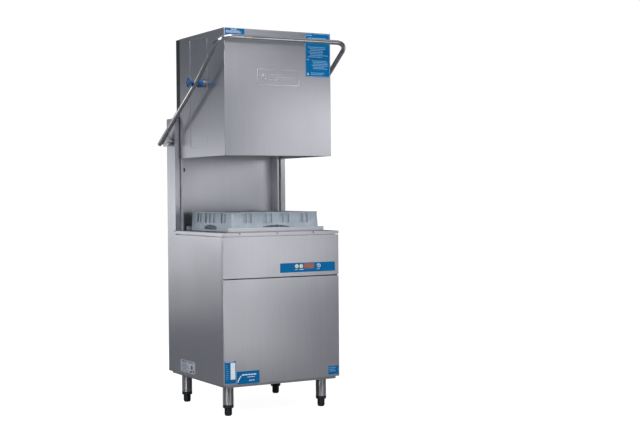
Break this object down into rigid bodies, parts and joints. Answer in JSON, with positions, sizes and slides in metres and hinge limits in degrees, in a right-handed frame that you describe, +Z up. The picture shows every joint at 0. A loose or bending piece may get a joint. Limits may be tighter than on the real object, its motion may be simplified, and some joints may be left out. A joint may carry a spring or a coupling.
{
  "type": "commercial dishwasher",
  "caption": "Pass-through hood dishwasher in brushed steel: lifting hood on rear columns, tube handle with rollers, dish rack on a deck, wash tank and pump below, on legs.",
  "frame": {"origin": "on the floor, midway between the handle bar in front and the pipe fittings behind, on the machine's centre line", "axes": "+X to the machine's right seen from the front, +Y to the rear, +Z up; the control panel faces -Y"},
  "size_m": [0.78, 0.778, 1.914],
  "materials": {
    "frame_steel": "satin",
    "polished_tube": "fine polished",
    "brushed_sheet": "brushed, vertical grain",
    "inner_steel": "satin",
    "black_plastic": "matte moulded",
    "blue_plastic": "smooth moulded",
    "blue_film": "printed film",
    "display_window": "tinted window",
    "cream_plastic": "smooth",
    "silver_button": "polished ring",
    "grey_plastic": "moulded",
    "guide_plastic": "natural, moulded",
    "motor_alloy": "cast",
    "hose_rubber": "moulded",
    "brass": "machined",
    "bearing_plastic": "moulded",
    "spring_steel": "drawn wire",
    "rack_plastic": "moulded"
  },
  "bodies": {
    "cabinet": {"base_frame": "frame_steel", "legs": "polished_tube", "leg_collars": "black_plastic", "left_side_panel": "brushed_sheet", "right_side_panel": "brushed_sheet", "left_column": "brushed_sheet", "right_column": "brushed_sheet", "column_liners": "guide_plastic", "chamber_back_wall": "brushed_sheet", "rear_cover": "brushed_sheet", "rear_lower_panel": "brushed_sheet", "front_fascia": "brushed_sheet", "front_service_panel": "brushed_sheet", "control_overlay": "blue_film", "display_board": "display_window", "tank_deck": "brushed_sheet", "wash_tank": "inner_steel", "rack_rails": "brushed_sheet", "tank_strainer": "inner_steel", "sump_filter": "inner_steel", "pump_housing": "grey_plastic", "wash_motor": "motor_alloy", "suction_hose": "hose_rubber", "wash_riser": "inner_steel", "lower_manifold": "inner_steel", "upper_manifold": "inner_steel", "booster_tank": "inner_steel", "heating_elements": "inner_steel", "inlet_valve": "brass", "rinse_pipe": "inner_steel", "drain_pump": "grey_plastic", "control_box": "frame_steel", "cable_gland": "black_plastic", "water_inlet": "brass", "drain_outlet": "grey_plastic", "pivot_bearings": "bearing_plastic", "counterbalance_springs": "spring_steel", "panel_screws": "polished_tube"},
    "hood": {"hood_shell": "brushed_sheet", "hood_guide_strips": "black_plastic", "roller_spindles": "polished_tube"},
    "handle": {"handle_tube": "polished_tube", "handle_brackets": "polished_tube", "pivot_cranks": "polished_tube"},
    "left_roller": {"left_roller": "blue_plastic"},
    "right_roller": {"right_roller": "blue_plastic"},
    "lower_wash_arm": {"lower_wash_arm": "inner_steel"},
    "upper_wash_arm": {"upper_wash_arm": "inner_steel"},
    "lower_rinse_arm": {"lower_rinse_arm": "inner_steel"},
    "upper_rinse_arm": {"upper_rinse_arm": "inner_steel"},
    "button_program": {"button_program": "cream_plastic"},
    "button_start": {"button_start": "cream_plastic"},
    "button_power": {"button_power": "silver_button"},
    "standpipe": {"standpipe": "inner_steel"},
    "pump_impeller": {"pump_impeller": "grey_plastic"},
    "rack": {"rack": "rack_plastic"},
    "foot_front_left": {"foot_front_left": "black_plastic"},
    "foot_front_right": {"foot_front_right": "black_plastic"},
    "foot_rear_left": {"foot_rear_left": "black_plastic"},
    "foot_rear_right": {"foot_rear_right": "black_plastic"}
  },
  "joints": [
    {"name": "hood_lift", "type": "slide", "parent": "cabinet", "child": "hood", "axis": [0, 0, 1], "range_m": [-0.4, 0]},
    {"name": "handle_swing", "type": "hinge", "parent": "cabinet", "child": "handle", "pos_m": [0, 0.279, 1.378], "axis": [1, 0, 0], "range_deg": [0, 64.05], "deforming": ["counterbalance_springs"]},
    {"name": "left_roller_spin", "type": "hinge", "parent": "hood", "child": "left_roller", "pos_m": [-0.35, -0.063, 1.65925], "axis": [1, 0, 0], "continuous": true},
    {"name": "right_roller_spin", "type": "hinge", "parent": "hood", "child": "right_roller", "pos_m": [0.35, -0.063, 1.65925], "axis": [1, 0, 0], "continuous": true},
    {"name": "lower_wash_arm_spin", "type": "hinge", "parent": "cabinet", "child": "lower_wash_arm", "pos_m": [0, -0.015, 0.86], "axis": [0, 0, 1], "continuous": true},
    {"name": "upper_wash_arm_spin", "type": "hinge", "parent": "cabinet", "child": "upper_wash_arm", "pos_m": [0, -0.015, 1.426], "axis": [0, 0, 1], "continuous": true},
    {"name": "lower_rinse_arm_spin", "type": "hinge", "parent": "cabinet", "child": "lower_rinse_arm", "pos_m": [0, -0.015, 0.8855], "axis": [0, 0, 1], "continuous": true},
    {"name": "upper_rinse_arm_spin", "type": "hinge", "parent": "cabinet", "child": "upper_rinse_arm", "pos_m": [0, -0.015, 1.4005], "axis": [0, 0, 1], "continuous": true},
    {"name": "program_press", "type": "slide", "parent": "cabinet", "child": "button_program", "axis": [0, 1, 0], "range_m": [0, 0.0018], "stiffness_N_per_m": 900, "springref_m": -0.0015},
    {"name": "start_press", "type": "slide", "parent": "cabinet", "child": "button_start", "axis": [0, 1, 0], "range_m": [0, 0.0018], "stiffness_N_per_m": 900, "springref_m": -0.0015},
    {"name": "power_press", "type": "slide", "parent": "cabinet", "child": "button_power", "axis": [0, 1, 0], "range_m": [0, 0.0018], "stiffness_N_per_m": 900, "springref_m": -0.0015},
    {"name": "standpipe_lift", "type": "slide", "parent": "cabinet", "child": "standpipe", "axis": [0, 0, 1], "range_m": [0, 0.06]},
    {"name": "pump_spin", "type": "hinge", "parent": "cabinet", "child": "pump_impeller", "pos_m": [0.19, 0.05, 0.262], "axis": [0, 1, 0], "continuous": true},
    {"name": "rack_slide", "type": "slide", "parent": "cabinet", "child": "rack", "axis": [1, 0, 0], "range_m": [-0.66, 0.66]},
    {"name": "foot_front_left_adjust", "type": "slide", "parent": "cabinet", "child": "foot_front_left", "axis": [0, 0, 1], "range_m": [-0.03, 0]},
    {"name": "foot_front_right_adjust", "type": "slide", "parent": "cabinet", "child": "foot_front_right", "axis": [0, 0, 1], "range_m": [-0.03, 0]},
    {"name": "foot_rear_left_adjust", "type": "slide", "parent": "cabinet", "child": "foot_rear_left", "axis": [0, 0, 1], "range_m": [-0.03, 0]},
    {"name": "foot_rear_right_adjust", "type": "slide", "parent": "cabinet", "child": "foot_rear_right", "axis": [0, 0, 1], "range_m": [-0.03, 0]}
  ],
  "couplings": [
    {"joint": "handle_swing", "follows": "hood_lift", "rad_per_m": -2.7925}
  ]
}
